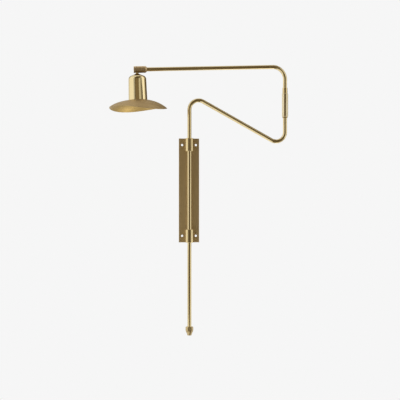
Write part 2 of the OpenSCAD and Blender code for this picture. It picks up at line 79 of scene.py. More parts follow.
# Cup, measured down from the middle of the knuckle
CUP_DROP = 11 * MM
CUP_H = 68 * MM
CUP_SHOULDER_R = 23 * MM
CUP_FOOT_R = 24.25 * MM
CUP_WALL = 1 * MM
CUP_ROUND = 10 * MM
CUP_CROWN_H = 14.3 * MM
CUP_FLAT_R = 4.6 * MM
CUP_HOLE_R = 3.6 * MM
CUP_HOLE_ROUND = 0.2 * MM
CUP_FLAT_ROUND = 0.5 * MM
CUP_INNER_FLAT_ROUND = 0.3 * MM
CUP_LIP_ROUND = 0.4 * MM
CUP_SIDES = 160
CUP_ROUND_STEPS = 20

# Shade: a flat top, then one arc down to a rim that waves and leans
SHADE_R = 75 * MM
SHADE_DEPTH = 22.2 * MM
SHADE_FLAT_R = 16 * MM
SHADE_T = 1 * MM
SHADE_GAP = 0.05 * MM
SHADE_WAVE = 5 * MM
SHADE_LEAN = 2.5 * MM
SHADE_TURN = math.radians(20)
SHADE_HOLE_R = 14.2 * MM
SHADE_RINGS = 44
SHADE_SIDES = 192
RIM_STEPS = 6

# Threaded shell of the lampholder, with its ends at these heights on the head's own axis
THREAD_LOW = -89.956 * MM
THREAD_HIGH = -65.956 * MM
THREAD_BORE_R = 7 * MM
THREAD_DEPTH = 0.8 * MM
THREAD_PITCH = 2.82 * MM
THREAD_WALL = 0.35 * MM
THREAD_PLAIN = 1.5 * MM
THREAD_SIDES = 64
THREAD_ROWS_PER_TURN = 10

# Screws behind the plate
SCREW_R = 2 * MM
SCREW_HEAD_R = 4 * MM
SCREW_L = 6.5 * MM
SCREW_PITCH = 0.7 * MM
SCREW_GROOVE = 0.3 * MM
SCREW_KEY = 2.5 * MM
SCREW_KEY_DEPTH = 1.6 * MM
SCREW_EDGE = 0.15 * MM
SCREW_SIDES = 48
SCREW_ROWS_PER_TURN = 8

# A mesh without normals of its own is sharp where its faces meet at more than this
SHARP_ANGLE = math.radians(35)


# Geometry

def circle_angles(sides):
    """The angles of even steps round a circle."""
    return [2 * math.pi * k / sides for k in range(sides)]


def ring_faces(rows, sides, flipped=False):
    """Quads from each ring of points to the next, and from the last ring to the first."""
    faces = []
    for i in range(rows):
        near, far = i, (i + 1) % rows
        if flipped:
            near, far = far, near
        for k in range(sides):
            m = (k + 1) % sides
            faces.append((near * sides + k, near * sides + m, far * sides + m, far * sides + k))
    return faces


def finish_mesh(name, points, faces, grain, edge, normals=None, under=None):
    """A smooth mesh whose points know their place in the grain, how near an edge they are
    and how far they take the painted shade of the underside."""
    mesh = bpy.data.meshes.new(name)
    mesh.from_pydata([tuple(point) for point in points], [], faces)
    mesh.polygons.foreach_set("use_smooth", [True] * len(mesh.polygons))
    places = mesh.attributes.new("grain", "FLOAT_VECTOR", "POINT")
    places.data.foreach_set("vector", [value for place in grain for value in place])
    worn = mesh.attributes.new("edge", "FLOAT", "POINT")
    worn.data.foreach_set("value", edge)
    painted_share = mesh.attributes.new("under", "FLOAT", "POINT")
    painted_share.data.foreach_set("value", under or [0.0] * len(points))
    mesh.update()
    if normals:
        mesh.normals_split_custom_set_from_vertices([tuple(normal) for normal in normals])
    else:
        mesh.set_sharp_from_angle(angle=SHARP_ANGLE)
    piece = bpy.data.objects.new(name, mesh)
    bpy.context.scene.collection.objects.link(piece)
    return piece


def add(piece, body, nodes, material):
    """Puts a new piece on its body, in place of CAD nodes."""
    piece.data.materials.clear()
    piece.data.materials.append(material)
    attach(piece, body)
    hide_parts(*nodes)


def rounded(corners, steps):
    """A closed outline with its (r, z, radius) corners drawn as arcs. The corners run anticlockwise.
    Its points are (r, z, normal r, normal z, edge), where edge is 1 in the middle of an arc."""
    outline = []
    for i, (r, z, radius) in enumerate(corners):
        here = Vector((r, z))
        back = (Vector(corners[i - 1][:2]) - here).normalized()
        ahead = (Vector(corners[(i + 1) % len(corners)][:2]) - here).normalized()
        half = back.angle(ahead) / 2
        centre = here + (back + ahead).normalized() * (radius / math.sin(half))
        turn_in = Vector((-back.y, back.x))
        turn_out = Vector((ahead.y, -ahead.x))
        convex = back.x * ahead.y - back.y * ahead.x < 0
        for k in range(steps + 1):
            share = k / steps
            normal = turn_in.slerp(turn_out, share)
            point = centre + normal * (radius if convex else -radius)
            outline.append((point.x, point.y, normal.x, normal.y, math.sin(math.pi * share)))
    return outline


def lathe(name, outline, place, sides):
    """Turns a closed outline about the z axis of a place. No point of it lies on the axis."""
    points, normals, grain, edge = [], [], [], []
    turn = place.to_3x3()
    run = 0.0
    last = outline[0]
    for r, z, normal_r, normal_z, worn in outline:
        run += math.hypot(r - last[0], z - last[1])
        last = (r, z)
        for a in circle_angles(sides):
            c, s = math.cos(a), math.sin(a)
            points.append(place @ Vector((r * c, r * s, z)))
            normals.append(turn @ Vector((normal_r * c, normal_r * s, normal_z)))
            grain.append((r * c, r * s, run))
            edge.append(worn)
    faces = ring_faces(len(outline), sides)
    return finish_mesh(name, points, faces, grain, edge, normals=normals)


def along(heading):
    """The way a path in the XZ plane goes at a heading, which is 0 upwards and 90 degrees towards +X."""
    return Vector((math.sin(heading), 0, math.cos(heading)))


def across(heading):
    """The way square to the path, towards +X where the path goes up."""
    return Vector((math.cos(heading), 0, -math.sin(heading)))


def bent_path(start, runs):
    """Stations along a path that starts upwards: each a point, a heading and the length so far.
    A run is a straight length, or a bend's radius and its angle, which is positive towards +X."""
    at, heading, length = Vector(start), 0.0, 0.0
    stations = [(at, heading, length)]
    for run in runs:
        if isinstance(run, tuple):
            bend_r, angle = run
            side = math.copysign(1, angle)
            centre = at + across(heading) * bend_r * side
            first = heading
            for k in range(1, BEND_RINGS + 1):
                heading = first + angle * k / BEND_RINGS
                at = centre - across(heading) * bend_r * side
                length += bend_r * abs(angle) / BEND_RINGS
                stations.append((at, heading, length))
        else:
            at = at + along(heading) * run
            length += run
            stations.append((at, heading, length))
    return stations


def tube(name, start, runs):
    """A bent tube along a path: its outside from start to end, then its bore back again."""
    stations = bent_path(start, runs)
    rows = [(*station, TUBE_R, 1) for station in stations]
    rows += [(*station, TUBE_R - TUBE_WALL, -1) for station in reversed(stations)]
    points, normals, grain = [], [], []
    for centre, heading, length, radius, out in rows:
        for a in circle_angles(TUBE_SIDES):
            way = across(heading) * math.cos(a) + Vector((0, 1, 0)) * math.sin(a)
            points.append(centre + way * radius)
            normals.append(way * out)
            grain.append((radius * math.cos(a), radius * math.sin(a), length))
    faces = ring_faces(len(rows), TUBE_SIDES)
    return finish_mesh(name, points, faces, grain, [0.0] * len(points), normals=normals)


# Nodes

def new_material(name):
    """A material with its node tree and its shader."""
    material = bpy.data.materials.new(name)
    material.use_nodes = True
    return material, material.node_tree, material.node_tree.nodes["Principled BSDF"]


def feed(tree, source, socket):
    """Links an output to a socket, or sets the socket to a plain value."""
    if isinstance(source, bpy.types.NodeSocket):
        tree.links.new(source, socket)
    else:
        socket.default_value = source


def maths(tree, operation, *sources):
    node = tree.nodes.new("ShaderNodeMath")
    node.operation = operation
    for source, socket in zip(sources, node.inputs):
        feed(tree, source, socket)
    return node.outputs[0]


def attribute(tree, name, output):
    node = tree.nodes.new("ShaderNodeAttribute")
    node.attribute_name = name
    return node.outputs[output]


def object_place(tree):
    return tree.nodes.new("ShaderNodeTexCoord").outputs["Object"]


def scaled(tree, place, scale):
    node = tree.nodes.new("ShaderNodeMapping")
    node.inputs["Scale"].default_value = scale
    tree.links.new(place, node.inputs["Vector"])
    return node.outputs["Vector"]


def noise(tree, place, scale, detail, roughness):
    node = tree.nodes.new("ShaderNodeTexNoise")
    node.inputs["Scale"].default_value = scale
    node.inputs["Detail"].default_value = detail
    node.inputs["Roughness"].default_value = roughness
    tree.links.new(place, node.inputs["Vector"])
    return node.outputs["Fac"]


def ranged(tree, value, start, end, to_start=0.0, to_end=1.0):
    """Maps a value from one range onto another and holds it inside."""
    node = tree.nodes.new("ShaderNodeMapRange")
    node.inputs["From Min"].default_value = start
    node.inputs["From Max"].default_value = end
    node.inputs["To Min"].default_value = to_start
    node.inputs["To Max"].default_value = to_end
    tree.links.new(value, node.inputs["Value"])
    return node.outputs["Result"]


def mixed(tree, share, first, second):
    """The first colour with a share of the second."""
    node = tree.nodes.new("ShaderNodeMix")
    node.data_type = "RGBA"
    feed(tree, share, node.inputs["Factor"])
    feed(tree, first, node.inputs["A"])
    feed(tree, second, node.inputs["B"])
    return node.outputs["Result"]


def bumped(tree, height, strength, distance):
    """A bump node, whose Normal can still take the normal that it starts from."""
    node = tree.nodes.new("ShaderNodeBump")
    node.inputs["Strength"].default_value = strength
    node.inputs["Distance"].default_value = distance
    tree.links.new(height, node.inputs["Height"])
    return node


# Brass

GRAIN_DETAIL = 6.0
GRAIN_ROUGHNESS = 0.6
GRAIN_BUMP = 0.2 * MM
CLOUD_DETAIL = 5.0
CLOUD_ROUGHNESS = 0.55
# What grain and clouds add to the tarnish, and the range of it that colour and gloss follow
GRAIN_SHARE = 0.45
CLOUD_SHARE = 0.55
COLOUR_RANGE = (0.35, 0.65)
GLOSS_RANGE = (0.3, 0.7)
GLOSS_SPREAD = 0.06
# How well the face's normal and the rounded one agree off an edge and on it
OFF_EDGE = 0.99
ON_EDGE = 0.75
EDGE_SAMPLES = 6
PALE_WEAR = (0.92, 0.80, 0.52)


def rounded_normal(tree, reach):
    """The normal of a CAD part, rounded within reach of its edges."""
    node = tree.nodes.new("ShaderNodeBevel")
    node.samples = EDGE_SAMPLES
    node.inputs["Radius"].default_value = reach
    return node.outputs["Normal"]


def near_edges(tree, soft):
    """How near an edge of a CAD part a point is, by how far its rounded normal has turned."""
    face = tree.nodes.new("ShaderNodeNewGeometry")
    agree = tree.nodes.new("ShaderNodeVectorMath")
    agree.operation = "DOT_PRODUCT"
    tree.links.new(soft, agree.inputs[0])
    tree.links.new(face.outputs["Normal"], agree.inputs[1])
    return ranged(tree, agree.outputs["Value"], OFF_EDGE, ON_EDGE)


def painted_underside_share(tree, place, span):
    """How far a point takes the painted underside colour, which paints shade: by its height within a span,
    or by its own attribute.
    """
    if not span:
        return attribute(tree, "under", "Fac")
    low, high = span
    parts = tree.nodes.new("ShaderNodeSeparateXYZ")
    tree.links.new(place, parts.inputs[0])
    return ranged(tree, parts.outputs["Z"], high, low)


def brass(name, colour, dark, roughness, grain_scale, cad=False, grain_depth=0.1, mottle=0.35,
          mottle_scale=28, streaks=1, wear=0.5, worn_to=PALE_WEAR, edge_reach=0.35 * MM, soften=True,
          under=None, under_span=None, under_shine=0.0):
    """Brass with directional grain, cloudy tarnish towards a dark colour, and worn edges. A CAD part
    takes its grain and its edges from its place and shape, a mesh of this script from its attributes."""
    material, tree, shader = new_material(name)
    shader.inputs["Metallic"].default_value = 1.0
    place = object_place(tree) if cad else attribute(tree, "grain", "Vector")
    lines = noise(tree, scaled(tree, place, grain_scale), 1.0, GRAIN_DETAIL, GRAIN_ROUGHNESS)
    drawn = scaled(tree, place, (streaks, streaks, 1))
    clouds = noise(tree, drawn, mottle_scale, CLOUD_DETAIL, CLOUD_ROUGHNESS)
    tarnish = maths(tree, "MULTIPLY_ADD", lines, GRAIN_SHARE, maths(tree, "MULTIPLY", clouds, CLOUD_SHARE))

    base = mixed(tree, ranged(tree, tarnish, *COLOUR_RANGE, 0.0, mottle), (*colour, 1), (*dark, 1))
    gloss = ranged(tree, tarnish, *GLOSS_RANGE, roughness - GLOSS_SPREAD, roughness + GLOSS_SPREAD)
    # Painted underside: a colour mixed in below that paints shade, and inside the lampshade also the light
    # bounced within it
    if under:
        painted_share = painted_underside_share(tree, place, under_span)
        base = mixed(tree, painted_share, base, (*under, 1))
        if under_shine:
            gloss = maths(tree, "MULTIPLY_ADD", painted_share, -under_shine, gloss)

    bump = bumped(tree, lines, grain_depth, GRAIN_BUMP)
    if cad:
        soft = rounded_normal(tree, edge_reach)
        closeness = near_edges(tree, soft)
        if soften:
            tree.links.new(soft, bump.inputs["Normal"])
    else:
        closeness = attribute(tree, "edge", "Fac")
    patches = maths(tree, "MULTIPLY", closeness, clouds)
    base = mixed(tree, maths(tree, "MULTIPLY", patches, wear), base, (*worn_to, 1))

    tree.links.new(base, shader.inputs["Base Color"])
    tree.links.new(gloss, shader.inputs["Roughness"])
    tree.links.new(bump.outputs["Normal"], shader.inputs["Normal"])
    return material


# Steel and plastics

FINE_DETAIL = 4.0
FINE_ROUGHNESS = 0.5
FINE_RANGE = (0.3, 0.7)
FINE_LIGHTNESS = (0.75, 1.25)
FINE_GLOSS_SPREAD = 0.08
FINE_BUMP = 0.1 * MM


def plain(name, colour, roughness, metallic=0.0, scale=900, depth=0.15):
    """A moulded or turned part in one colour, with fine unevenness in its colour, gloss and surface."""
    material, tree, shader = new_material(name)
    shader.inputs["Metallic"].default_value = metallic
    fine = noise(tree, object_place(tree), scale, FINE_DETAIL, FINE_ROUGHNESS)
    ramp = tree.nodes.new("ShaderNodeValToRGB")
    for element, position, lightness in zip(ramp.color_ramp.elements, FINE_RANGE, FINE_LIGHTNESS):
        element.position = position
        element.color = (*[channel * lightness for channel in colour], 1)
    tree.links.new(fine, ramp.inputs["Fac"])
    gloss = ranged(tree, fine, 0.0, 1.0, roughness - FINE_GLOSS_SPREAD, roughness + FINE_GLOSS_SPREAD)
    bump = bumped(tree, fine, depth, FINE_BUMP)
    tree.links.new(ramp.outputs["Color"], shader.inputs["Base Color"])
    tree.links.new(gloss, shader.inputs["Roughness"])
    tree.links.new(bump.outputs["Normal"], shader.inputs["Normal"])
    return material


# Finishes. The grain has this many waves a metre along x, y and z, so it runs round a turned piece
# and along a drawn one. A mesh of this script has its own x, y and z, with z along the tube or
# along the section that is turned.

SPUN_GRAIN = (60, 60, 9000)
TURNED_GRAIN = (60, 60, 4000)
COARSE_GRAIN = (60, 60, 3000)
DRAWN_GRAIN = (2500, 2500, 40)
KNUCKLE_GRAIN = (4000, 60, 60)
PLATE_GRAIN = (5000, 5000, 60)
POLISHED = (0.86, 0.71, 0.40)
MELLOW = (0.80, 0.64, 0.34)
MELLOW_DARK = (0.60, 0.44, 0.2)
HONEY_DARK = (0.66, 0.49, 0.22)

tube_brass = brass("tube_brass", POLISHED, dark=(0.74, 0.56, 0.27), roughness=0.13,
                   grain_scale=DRAWN_GRAIN, mottle=0.3)
cup_brass = brass("cup_brass", POLISHED, dark=(0.76, 0.58, 0.28), roughness=0.10,
                  grain_scale=SPUN_GRAIN, grain_depth=0.05, mottle=0.25)
# The shade is dull above and glossier below; its darker, yellower colour below is painted shade and painted
# reflection of light bouncing inside the dish
shade_brass = brass("shade_brass", (0.655, 0.495, 0.265), dark=(0.54, 0.385, 0.19), roughness=0.54,
                    grain_scale=SPUN_GRAIN, mottle=0.6, under=(0.485, 0.335, 0.12), under_shine=0.17)
thread_brass = brass("thread_brass", MELLOW, dark=MELLOW_DARK, roughness=0.24,
                     grain_scale=COARSE_GRAIN, mottle=0.5)
contact_brass = brass("contact_brass", MELLOW, dark=MELLOW_DARK, roughness=0.28,
                      grain_scale=COARSE_GRAIN, cad=True)
# The plate is brushed up and down, tarnished in streaks, and dark along its edges
plate_brass = brass("plate_brass", (0.725, 0.555, 0.295), dark=(0.60, 0.45, 0.22), roughness=0.52,
                    grain_scale=PLATE_GRAIN, cad=True, grain_depth=0.2, mottle=0.8, mottle_scale=14,
                    streaks=9, wear=1.8, worn_to=(0.34, 0.235, 0.115), edge_reach=2 * MM, soften=False)
collar_brass = brass("collar_brass", (0.82, 0.66, 0.36), dark=HONEY_DARK, roughness=0.16,
                     grain_scale=TURNED_GRAIN, cad=True, mottle=0.4)
dark_brass = brass("dark_brass", (0.50, 0.36, 0.16), dark=(0.36, 0.25, 0.10), roughness=0.34,
                   grain_scale=TURNED_GRAIN, cad=True, mottle=0.5)
gland_brass = brass("gland_brass", (0.68, 0.535, 0.285), dark=(0.54, 0.40, 0.19), roughness=0.42,
                    grain_scale=TURNED_GRAIN, cad=True, grain_depth=0.05, mottle=0.4)
sleeve_brass = brass("sleeve_brass", (0.87, 0.75, 0.49), dark=(0.74, 0.59, 0.34), roughness=0.16,
                     grain_scale=TURNED_GRAIN, cad=True, mottle=0.4)
ferrule_brass = brass("ferrule_brass", MELLOW, dark=HONEY_DARK, roughness=0.15,
                      grain_scale=TURNED_GRAIN, cad=True, mottle=0.3)
# The knuckle is painted dark below: painted shade that deepens from its top down to its bottom
knuckle_low, knuckle_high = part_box("knuckle")
knuckle_brass_shaded_below = brass("knuckle_brass_shaded_below", (0.91, 0.71, 0.41), dark=(0.78, 0.56, 0.29), roughness=0.53,
                      grain_scale=KNUCKLE_GRAIN, cad=True, grain_depth=0.08, mottle=0.4,
                      under=(0.27, 0.17, 0.075), under_span=(knuckle_low.z, knuckle_high.z))
steel = plain("steel", (0.55, 0.55, 0.56), 0.32, metallic=1.0)
nylon = plain("nylon", (0.022, 0.020, 0.018), 0.5)
rubber = plain("rubber", (0.015, 0.015, 0.015), 0.75, scale=1800, depth=0.3)
phenolic = plain("phenolic", (0.018, 0.015, 0.013), 0.3, scale=500, depth=0.05)

# The finish of each slot, and of the nodes that differ from their slot
FINISHES = {
    "plate_brass": plate_brass,
    "collar_brass": collar_brass,
    "tube_brass": tube_brass,
    "cup_brass": cup_brass,
    "shade_brass": shade_brass,
    "dark_brass": dark_brass,
    "contact_brass": contact_brass,
    "steel": steel,
    "nylon": nylon,
    "phenolic": phenolic,
    "rubber": rubber,
}
OWN_FINISHES = {
    "knuckle": knuckle_brass_shaded_below,
    "knuckle_cap": knuckle_brass_shaded_below,
    "gland_body": gland_brass,
    "gland_nut": gland_brass,
    "elbow_sleeve": sleeve_brass,
    "elbow_ferrule": ferrule_brass,
}


def dress_nodes():
    """Gives each CAD node its finish."""
    for node in frame["nodes"].values():
        for slot in node.material_slots:
            slot.material = FINISHES[slot.material.name]
    for name, material in OWN_FINISHES.items():
        frame["nodes"][name].material_slots[0].material = material


# Places

def joint_place(name):
    """A joint's origin, with x along the joint's axis and z as near upright as can be."""
    joint = next(each for each in frame["joints"] if each["name"] == name)
    x = Vector(joint["axis"]).normalized()
    up = Vector((0, 0, 1))
    z = (up - x * up.dot(x)).normalized()
    y = z.cross(x)
    turn = Matrix((x, y, z)).transposed().to_4x4()
    return Matrix.Translation(Vector(joint["pos_m"])) @ turn


# The lamp head's place is where the neck's axis meets the arm's, with x along the arm
head = joint_place("head_tilt")
sleeve_low, sleeve_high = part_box("elbow_sleeve")
elbow_x = (sleeve_low.x + sleeve_high.x) / 2
mast_x = 0.0
mast_y = (sleeve_low.y + sleeve_high.y) / 2


# Tubes

def make_mast():
    """The mast and the lower arm: up, round a bend, down the slope, round a bend and up to the elbow."""
    turn = math.radians(90) + ARM_SLOPE
    tangent = MAST_BEND_R * math.tan(turn / 2)
    slope_l = (elbow_x - mast_x) / math.cos(ARM_SLOPE) - 2 * tangent
    runs = [MAST_BEND_Z - MAST_FOOT_Z, (MAST_BEND_R, turn), slope_l, (MAST_BEND_R, -turn), ELBOW_RISE]
    piece = tube("mast_tube", (mast_x, mast_y, MAST_FOOT_Z), runs)
    add(piece, "mast", ["mast_arm"], tube_brass)


def make_upper_arm():
    """The upper arm: up out of the sleeve, round a bend and across to the knuckle."""
    droop = math.atan2(head[2][0], head[0][0])
    turn = math.radians(90) + droop
    tangent = UPPER_BEND_R * math.tan(turn / 2)
    foot = sleeve_high.z - UPPER_FOOT_DEPTH
    rise = UPPER_FOOT_DEPTH + UPPER_RISE
    corner = Vector((elbow_x, mast_y, foot + rise + tangent))
    reach = (corner - head.to_translation()).length
    runs = [rise, (UPPER_BEND_R, -turn), reach - tangent - KNUCKLE_FRONT + ARM_TAIL]
    piece = tube("upper_tube", (elbow_x, mast_y, foot), runs)
    add(piece, "boom", ["upper_arm"], tube_brass)


# Cup

def tangent_from(point, centre, radius, side):
    """Direction of the line from a point that touches a circle, on one side of it."""
    to = Vector(centre) - Vector(point)
    lean = math.asin(radius / to.length) * side
    return Vector((
        to.x * math.cos(lean) - to.y * math.sin(lean),
        to.x * math.sin(lean) + to.y * math.cos(lean),
    )).normalized()


def meet(p, d, q, e):
    """Where the line through p along d meets the line through q along e."""
    to = Vector(q) - Vector(p)
    return Vector(p) + d * ((to.x * e.y - to.y * e.x) / (d.x * e.y - d.y * e.x))


def cup_skin(inset):
    """The cup's corners at its flat, shoulder and foot, and its shoulder's radius, drawn in by an inset."""
    flat = (CUP_FLAT_R - inset / 2, -CUP_DROP - inset)
    foot = (CUP_FOOT_R - inset, -CUP_DROP - CUP_H)
    shoulder_round = CUP_ROUND - inset
    middle = (CUP_SHOULDER_R - CUP_ROUND, -CUP_DROP - CUP_CROWN_H)
    crown = tangent_from(flat, middle, shoulder_round, 1)
    flank = tangent_from(foot, middle, shoulder_round, -1)
    return flat, tuple(meet(flat, crown, foot, flank)), foot, shoulder_round


def make_cup():
    """The cup: the closed outline of its sheet, turned about the neck's axis."""
    flat, shoulder, foot, shoulder_round = cup_skin(0)
    inner_flat, inner_shoulder, inner_foot, inner_round = cup_skin(CUP_WALL)
    outline = rounded([
        (CUP_HOLE_R, -CUP_DROP - CUP_WALL, CUP_HOLE_ROUND),
        (*inner_flat, CUP_INNER_FLAT_ROUND),
        (*inner_shoulder, inner_round),
        (*inner_foot, CUP_LIP_ROUND),
        (*foot, CUP_LIP_ROUND),
        (*shoulder, shoulder_round),
        (*flat, CUP_FLAT_ROUND),
        (CUP_HOLE_R, -CUP_DROP, CUP_HOLE_ROUND),
    ], CUP_ROUND_STEPS)
    piece = lathe("cup_shell", outline, head, CUP_SIDES)
    add(piece, "head", ["cup"], cup_brass)


# Shade

shade_span = SHADE_R - SHADE_FLAT_R
shade_arc_r = (shade_span * shade_span + SHADE_DEPTH * SHADE_DEPTH) / (2 * SHADE_DEPTH)


def shade_slope(r):
    return math.asin(max(0.0, r - SHADE_FLAT_R) / shade_arc_r)


def shade_drop(r):
    return shade_arc_r * (1 - math.cos(shade_slope(r)))


# Height of the shade's flat top, at which its sheet just clears the foot of the cup
shade_top = -CUP_DROP - CUP_H + shade_drop(CUP_FOOT_R - CUP_WALL) - SHADE_GAP


def shade_point(r, a, depth):
    """A point of the dished shade, on its upper face at depth 0. The wave and the lean grow from the
    cup's foot to the rim."""
    slope = shade_slope(r)
    x = r - depth * math.sin(slope)
    bend = SHADE_WAVE * math.sin(2 * a + SHADE_TURN) - SHADE_LEAN * math.cos(a + SHADE_TURN)
    rise = bend * (max(0.0, r - CUP_FOOT_R) / (SHADE_R - CUP_FOOT_R)) ** 2
    z = shade_top - shade_drop(r) - depth * math.cos(slope) + rise
    return Vector((x * math.cos(a), x * math.sin(a), z))


def shade_section():
    """The sheet's section as (radius, depth, edge): out along the top, round the rim and back below."""
    half = SHADE_T / 2
    rim_r = SHADE_R - half
    radii = [SHADE_HOLE_R + (rim_r - SHADE_HOLE_R) * i / SHADE_RINGS for i in range(SHADE_RINGS + 1)]
    section = [(r, 0.0, 0.0) for r in radii]
    for k in range(1, RIM_STEPS):
        a = math.pi * k / RIM_STEPS
        section.append((rim_r + half * math.sin(a), half - half * math.cos(a), math.sin(a)))
    return section + [(r, SHADE_T, 0.0) for r in reversed(radii)]


def make_shade():
    """The shade: the rings of its sheet round the neck's axis."""
    points, grain, edge, under = [], [], [], []
    section = shade_section()
    run = 0.0
    last = section[0]
    for r, depth, worn in section:
        run += math.hypot(r - last[0], depth - last[1])
        last = (r, depth)
        for a in circle_angles(SHADE_SIDES):
            points.append(head @ shade_point(r, a, depth))
            grain.append((r * math.cos(a), r * math.sin(a), run))
            edge.append(worn)
            # The lower face takes the painted underside: painted shade and painted inter-reflection
            under.append(depth / SHADE_T)
    faces = ring_faces(len(section), SHADE_SIDES, flipped=True)
    piece = finish_mesh("shade_dish", points, faces, grain, edge, under=under)
    add(piece, "head", ["shade"], shade_brass)


# Threads

def thread_wave(length, pitch, a):
    """A wave from 0 to 1 that moves on by a pitch with each turn."""
    return 0.5 + 0.5 * math.sin(2 * math.pi * length / pitch - a)


def make_thread():
    """The rolled thread that a small bulb's cap turns into, with a plain lip at each end. Its rings go
    down the bore and back up outside."""
    length = THREAD_HIGH - THREAD_LOW
    rows = round(length / THREAD_PITCH * THREAD_ROWS_PER_TURN)
    points, grain, edge = [], [], []
    for out in (0, 1):
        for i in range(rows + 1):
            height = length * (i if out else rows - i) / rows
            to_end = min(height, length - height)
            lip = 1 - min(1, to_end / THREAD_PLAIN)
            for a in circle_angles(THREAD_SIDES):
                wave = thread_wave(height, THREAD_PITCH, a)
                r = THREAD_BORE_R + THREAD_DEPTH * (wave + (1 - wave) * lip) + THREAD_WALL * out
                place = (r * math.cos(a), r * math.sin(a), THREAD_LOW + height)
                points.append(head @ Vector(place))
                grain.append(place)
                edge.append(1 - wave)
    faces = ring_faces(2 * (rows + 1), THREAD_SIDES)
    piece = finish_mesh("shell_thread", points, faces, grain, edge)
    add(piece, "head", ["screw_shell"], thread_brass)


def plain_r(r):
    """A radius that is the same all round."""
    return lambda a, y: r


def key_r(a, y):
    """Distance from the axis to the side of the six sided key recess."""
    sector = math.radians(60)
    return SCREW_KEY / 2 / math.cos(a % sector - sector / 2)


def thread_r(a, y):
    """Radius of the screw's thread, which has its full width on its crest."""
    return SCREW_R - SCREW_GROOVE * thread_wave(y, SCREW_PITCH, a)


def screw_rows():
    """The rows of a screw from its recess to its tip, each a radius by angle and a place along Y."""
    neck = SCREW_R - SCREW_HEAD_R
    turns = (SCREW_L + neck - 3 * SCREW_EDGE) / SCREW_PITCH
    steps = round(turns * SCREW_ROWS_PER_TURN)
    return [
        (key_r, -SCREW_KEY_DEPTH),
        (key_r, 0),
        (plain_r(SCREW_HEAD_R - SCREW_EDGE), 0),
        (plain_r(SCREW_HEAD_R), -SCREW_EDGE),
        (plain_r(SCREW_R), neck - SCREW_EDGE),
        *[(thread_r, neck - 2 * SCREW_EDGE - turns * SCREW_PITCH * i / steps) for i in range(steps + 1)],
        (plain_r(SCREW_R - 2 * SCREW_GROOVE), -SCREW_L),
    ]


def make_screws():
    """Two countersunk screws that hold the collars from behind the plate, each with a key recess."""
    rows = screw_rows()
    low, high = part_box("collar_screws")
    points, grain, faces = [], [], []
    for z in (low.z + SCREW_HEAD_R, high.z - SCREW_HEAD_R):
        centre = Vector((0, 0, z))
        first = len(points)
        for reach, y in rows:
            for a in circle_angles(SCREW_SIDES):
                r = reach(a, y)
                points.append(centre + Vector((r * math.cos(a), y, r * math.sin(a))))
                grain.append((r * math.cos(a), r * math.sin(a), y))
        floor = len(points)
        for y in (-SCREW_KEY_DEPTH, -SCREW_L):
            points.append(centre + Vector((0, y, 0)))
            grain.append((0, 0, y))
        last = floor - SCREW_SIDES
        for k in range(SCREW_SIDES):
            m = (k + 1) % SCREW_SIDES
            faces.append((floor, first + m, first + k))
            faces.append((floor + 1, last + k, last + m))
            for near in range(first, last, SCREW_SIDES):
                far = near + SCREW_SIDES
                faces.append((near + k, near + m, far + m, far + k))
    piece = finish_mesh("collar_screw_pair", points, faces, grain, [0.0] * len(points))
    add(piece, "wall_bracket", ["collar_screws"], steel)


# Floor, background and camera

FLOOR_Z = -1.5
FLOOR_R = 4.0
FLOOR_SIDES = 96
FLOOR_ALBEDO = 0.92
FLOOR_ROUGHNESS = 0.9
# The floor fades out between these shares of its radius
FADE_START = 0.4
FADE_END = 0.97
BACKGROUND = 0.922
AMBIENT = 0.9


def circle_points(x, y, radius, height, sides):
    """Points of a level circle."""
    return [(x + radius * math.cos(a), y + radius * math.sin(a), height) for a in circle_angles(sides)]


def stage_mesh(name, points, faces, material):
    """A mesh of the studio, which isn't part of the lamp."""
    mesh = bpy.data.meshes.new(name)
    mesh.from_pydata(points, [], faces)
    mesh.materials.append(material)
    piece = bpy.data.objects.new(name, mesh)
    bpy.context.scene.collection.objects.link(piece)
    return piece


def make_floor():
    """A pale floor that takes the lamp's shadow and fades into the background."""
    material, tree, shader = new_material("floor")
    shader.inputs["Base Color"].default_value = (FLOOR_ALBEDO, FLOOR_ALBEDO, FLOOR_ALBEDO, 1)
    shader.inputs["Roughness"].default_value = FLOOR_ROUGHNESS
    far = tree.nodes.new("ShaderNodeVectorMath")
    far.operation = "LENGTH"
    tree.links.new(object_place(tree), far.inputs[0])
    fade = tree.nodes.new("ShaderNodeMapRange")
    fade.interpolation_type = "SMOOTHSTEP"
    fade.inputs["From Min"].default_value = math.hypot(FLOOR_R * FADE_START, FLOOR_Z)
    fade.inputs["From Max"].default_value = math.hypot(FLOOR_R * FADE_END, FLOOR_Z)
    tree.links.new(far.outputs["Value"], fade.inputs["Value"])
    clear = tree.nodes.new("ShaderNodeBsdfTransparent")
    mix = tree.nodes.new("ShaderNodeMixShader")
    tree.links.new(fade.outputs["Result"], mix.inputs["Fac"])
    tree.links.new(shader.outputs["BSDF"], mix.inputs[1])
    tree.links.new(clear.outputs["BSDF"], mix.inputs[2])
    tree.links.new(mix.outputs["Shader"], tree.nodes["Material Output"].inputs["Surface"])
    points = [(0, 0, FLOOR_Z)] + circle_points(0, 0, FLOOR_R, FLOOR_Z, FLOOR_SIDES)
    faces = [(0, k + 1, (k + 1) % FLOOR_SIDES + 1) for k in range(FLOOR_SIDES)]
    stage_mesh("floor", points, faces, material)


